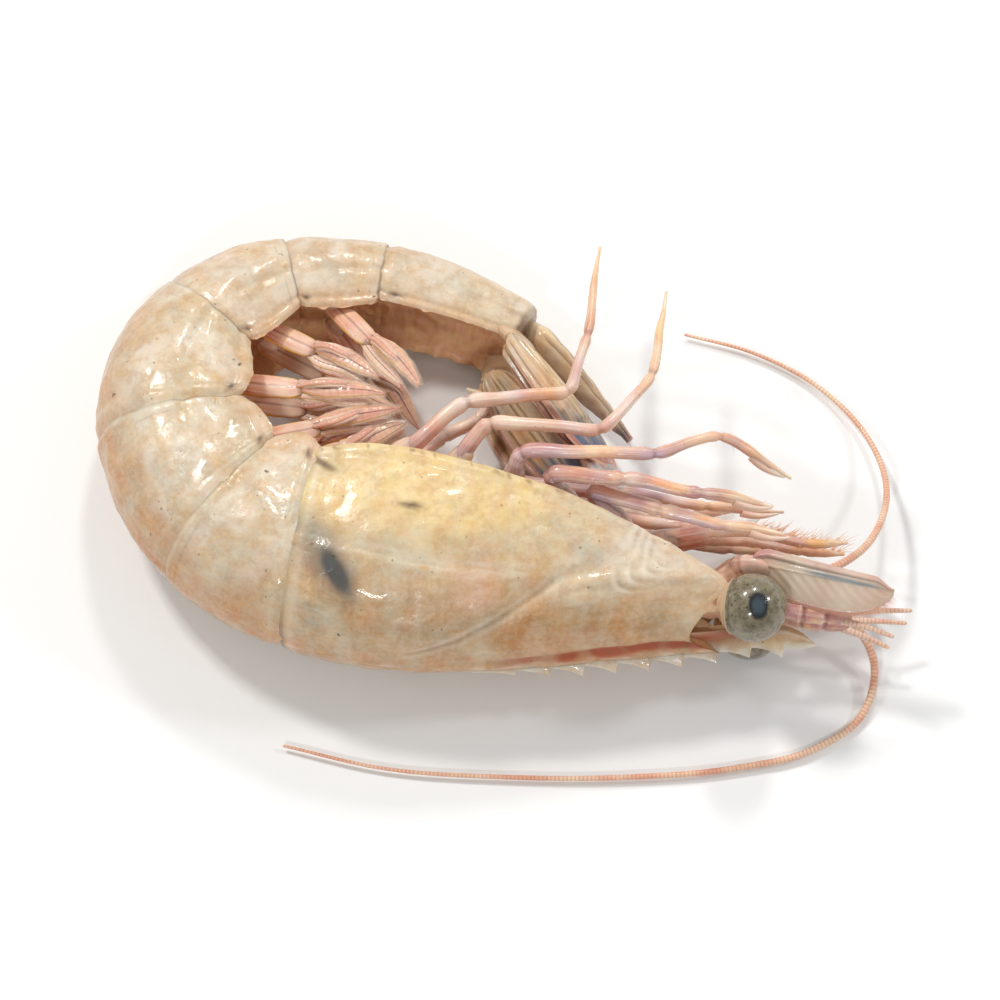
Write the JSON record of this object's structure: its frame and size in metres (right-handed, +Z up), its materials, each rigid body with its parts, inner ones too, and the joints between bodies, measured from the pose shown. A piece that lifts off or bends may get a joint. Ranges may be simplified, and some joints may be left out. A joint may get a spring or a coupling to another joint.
{
  "type": "raw king prawn",
  "caption": "Whole raw head-on king prawn, unpeeled, curled up and lying on its side.",
  "frame": {"origin": "centre of the prawn's bounding box in plan, at the ground it lies on", "axes": "+X towards the head, along the longest side; +Y from the head's back towards the folded tail; +Z up, out of the prawn's left side"},
  "size_m": [0.0846, 0.0596, 0.0195],
  "materials": {
    "shell": "wet, half see-through shell",
    "fan": "wet, ribbed, thin plate",
    "flesh": "wet, soft",
    "limb": "wet, thin shell",
    "eye": "wet and smooth",
    "feeler": "wet, stiff"
  },
  "bodies": {
    "root": {"carapace": "shell", "abdomen_1": "shell", "abdomen_2": "shell", "abdomen_3": "shell", "abdomen_4": "shell", "abdomen_5": "shell", "abdomen_6": "shell", "telson": "shell", "uropod_inner_left": "fan", "uropod_inner_right": "fan", "uropod_outer_left": "fan", "uropod_outer_right": "fan", "head": "flesh", "eye_left": "eye", "eye_right": "eye", "antennule_left": "limb", "antennule_right": "limb", "scale_left": "limb", "scale_right": "limb", "feeler_left": "feeler", "feeler_right": "feeler", "maxilliped_left": "limb", "maxilliped_right": "limb", "leg_1_left": "limb", "leg_1_right": "limb", "leg_2_left": "limb", "leg_2_right": "limb", "leg_3_left": "limb", "leg_3_right": "limb", "leg_4_left": "limb", "leg_4_right": "limb", "leg_5_left": "limb", "leg_5_right": "limb", "swimmeret_1_left": "limb", "swimmeret_1_right": "limb", "swimmeret_2_left": "limb", "swimmeret_2_right": "limb", "swimmeret_3_left": "limb", "swimmeret_3_right": "limb", "swimmeret_4_left": "limb", "swimmeret_4_right": "limb", "swimmeret_5_left": "limb", "swimmeret_5_right": "limb"}
  },
  "joints": []
}
